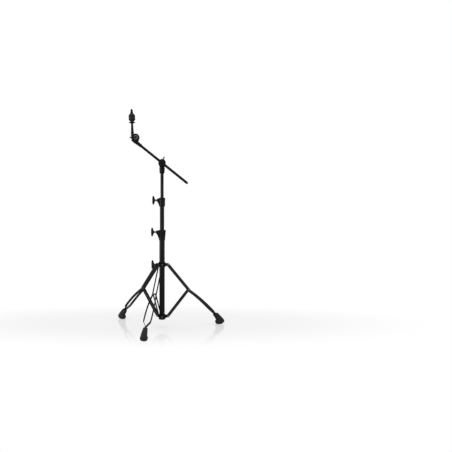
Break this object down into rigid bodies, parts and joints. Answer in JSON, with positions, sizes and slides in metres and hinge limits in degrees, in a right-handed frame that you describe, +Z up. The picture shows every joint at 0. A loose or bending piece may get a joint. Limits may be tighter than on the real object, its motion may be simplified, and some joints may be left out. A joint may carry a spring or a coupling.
{
  "type": "boom cymbal stand",
  "caption": "Black boom cymbal stand: folding double-braced tripod, telescoping tubes with wing-bolt clamps, tilting boom and a cymbal tilter with felts and wing nut.",
  "frame": {"origin": "middle of the stand's box on the floor it stands on", "axes": "+Z up; the picture looks along +Y with +X to the right, and the boom points up towards -X"},
  "size_m": [0.6635, 0.6635, 1.2743],
  "materials": {
    "black_tube": "satin black powder coat",
    "black_casting": "satin black paint on a die casting",
    "black_strip": "satin black powder coat",
    "black_bolt": "black plated steel",
    "rivet_steel": "plain rivet heads",
    "rubber": "matte moulded rubber",
    "nylon": "moulded nylon",
    "felt": "pressed wool felt"
  },
  "bodies": {
    "base": {"base_tube": "black_tube", "lower_collar": "black_casting", "tube_plug": "rubber", "base_clamp": "black_casting", "lower_rivet_1": "rivet_steel", "lower_rivet_2": "rivet_steel", "lower_rivet_3": "rivet_steel"},
    "brace_1": {"brace_1_strip_a": "black_strip", "brace_1_strip_b": "black_strip"},
    "brace_2": {"brace_2_strip_a": "black_strip", "brace_2_strip_b": "black_strip"},
    "brace_3": {"brace_3_strip_a": "black_strip", "brace_3_strip_b": "black_strip"},
    "leg_1": {"leg_1_strip_a": "black_strip", "leg_1_strip_b": "black_strip", "elbow_rivet_1": "rivet_steel", "boot_1": "rubber"},
    "leg_2": {"leg_2_strip_a": "black_strip", "leg_2_strip_b": "black_strip", "elbow_rivet_2": "rivet_steel", "boot_2": "rubber"},
    "leg_3": {"leg_3_strip_a": "black_strip", "leg_3_strip_b": "black_strip", "elbow_rivet_3": "rivet_steel", "boot_3": "rubber"},
    "collar": {"upper_collar": "black_casting", "upper_rivet_1": "rivet_steel", "upper_rivet_2": "rivet_steel", "upper_rivet_3": "rivet_steel"},
    "collar_wing": {"collar_wing_bolt": "black_bolt"},
    "base_wing": {"base_wing_bolt": "black_bolt"},
    "base_swivel": {"base_bushing": "nylon"},
    "middle": {"mid_tube": "black_tube", "mid_clamp": "black_casting"},
    "mid_wing": {"mid_wing_bolt": "black_bolt"},
    "mid_swivel": {"mid_bushing": "nylon"},
    "upper": {"upper_tube": "black_tube", "boom_bracket": "black_casting"},
    "boom_wing": {"boom_wing_bolt": "black_bolt"},
    "boom_holder": {"boom_clamp": "black_casting"},
    "boom": {"boom_tube": "black_tube", "boom_cap": "rubber", "tilter_boom_half": "black_casting"},
    "cymbal_wing": {"cymbal_wing_bolt": "black_bolt"},
    "cymbal_head": {"tilter_rod_half": "black_casting", "set_screw": "black_bolt", "tilter_nut": "black_bolt", "cymbal_rod": "black_bolt", "cup_washer": "black_casting", "rod_sleeve": "nylon", "lower_felt": "felt", "upper_felt": "felt"},
    "top_nut": {"wing_nut": "black_bolt"}
  },
  "joints": [
    {"name": "tripod_fold", "type": "hinge", "parent": "base", "child": "brace_1", "pos_m": [-0.01499, 0.0581, 0.0625], "axis": [0.2588, -0.9659, 0], "range_deg": [-20, 35]},
    {"name": "brace_2_fold", "type": "hinge", "parent": "base", "child": "brace_2", "pos_m": [-0.07388, 0.07388, 0.0625], "axis": [0.7071, 0.7071, 0], "range_deg": [-20, 35]},
    {"name": "brace_3_fold", "type": "hinge", "parent": "base", "child": "brace_3", "pos_m": [-0.0581, 0.01499, 0.0625], "axis": [-0.9659, 0.2588, 0], "range_deg": [-20, 35]},
    {"name": "leg_1_fold", "type": "hinge", "parent": "brace_1", "child": "leg_1", "pos_m": [0.10944, 0.09145, 0.21548], "axis": [0.2588, -0.9659, 0], "range_deg": [-70, 40]},
    {"name": "leg_2_fold", "type": "hinge", "parent": "brace_2", "child": "leg_2", "pos_m": [-0.16498, 0.16498, 0.21548], "axis": [0.7071, 0.7071, 0], "range_deg": [-70, 40]},
    {"name": "leg_3_fold", "type": "hinge", "parent": "brace_3", "child": "leg_3", "pos_m": [-0.09145, -0.10944, 0.21548], "axis": [-0.9659, 0.2588, 0], "range_deg": [-70, 40]},
    {"name": "collar_lift", "type": "hinge", "parent": "leg_1", "child": "collar", "pos_m": [-0.01499, 0.0581, 0.36847], "axis": [0.2588, -0.9659, 0], "range_deg": [-20, 35]},
    {"name": "collar_wing_turn", "type": "hinge", "parent": "collar", "child": "collar_wing", "pos_m": [-0.04899, 0.04899, 0.36847], "axis": [-1, 0, 0], "range_deg": [0, 270]},
    {"name": "base_wing_turn", "type": "hinge", "parent": "base", "child": "base_wing", "pos_m": [-0.04899, 0.04899, 0.5605], "axis": [-1, 0, 0], "range_deg": [0, 270]},
    {"name": "mast_swivel", "type": "hinge", "parent": "base", "child": "base_swivel", "pos_m": [-0.04899, 0.04899, 0.5715], "axis": [0, 0, 1], "continuous": true},
    {"name": "middle_slide", "type": "slide", "parent": "base_swivel", "child": "middle", "axis": [0, 0, 1], "range_m": [-0.13, 0.22]},
    {"name": "mid_wing_turn", "type": "hinge", "parent": "middle", "child": "mid_wing", "pos_m": [-0.04899, 0.04899, 0.748], "axis": [-1, 0, 0], "range_deg": [0, 270]},
    {"name": "upper_swivel", "type": "hinge", "parent": "middle", "child": "mid_swivel", "pos_m": [-0.04899, 0.04899, 0.7615], "axis": [0, 0, 1], "continuous": true},
    {"name": "upper_slide", "type": "slide", "parent": "mid_swivel", "child": "upper", "axis": [0, 0, 1], "range_m": [-0.13, 0.17]},
    {"name": "boom_wing_turn", "type": "hinge", "parent": "upper", "child": "boom_wing", "pos_m": [-0.04899, 0.04899, 0.966], "axis": [0, 1, 0], "range_deg": [0, 270]},
    {"name": "boom_tilt", "type": "hinge", "parent": "upper", "child": "boom_holder", "pos_m": [-0.04899, 0.04899, 0.966], "axis": [0, 1, 0], "range_deg": [-60, 40]},
    {"name": "boom_slide", "type": "slide", "parent": "boom_holder", "child": "boom", "axis": [-0.7788, 0, 0.6273], "range_m": [-0.12, 0.15]},
    {"name": "cymbal_wing_turn", "type": "hinge", "parent": "boom", "child": "cymbal_wing", "pos_m": [-0.20312, 0.04899, 1.11261], "axis": [0, 1, 0], "range_deg": [0, 270]},
    {"name": "cymbal_tilt", "type": "hinge", "parent": "boom", "child": "cymbal_head", "pos_m": [-0.20312, 0.04899, 1.11261], "axis": [0, 1, 0], "range_deg": [-75, 75]},
    {"name": "top_nut_turn", "type": "hinge", "parent": "cymbal_head", "child": "top_nut", "pos_m": [-0.22091, 0.00519, 1.11205], "axis": [-0.0314, 0, 0.9995], "range_deg": [0, 270]}
  ],
  "couplings": [
    {"joint": "brace_2_fold", "follows": "tripod_fold", "ratio": 1},
    {"joint": "brace_3_fold", "follows": "tripod_fold", "ratio": 1},
    {"joint": "leg_1_fold", "follows": "tripod_fold", "ratio": -2},
    {"joint": "leg_2_fold", "follows": "tripod_fold", "ratio": -2},
    {"joint": "leg_3_fold", "follows": "tripod_fold", "ratio": -2},
    {"joint": "collar_lift", "follows": "tripod_fold", "ratio": 1}
  ]
}
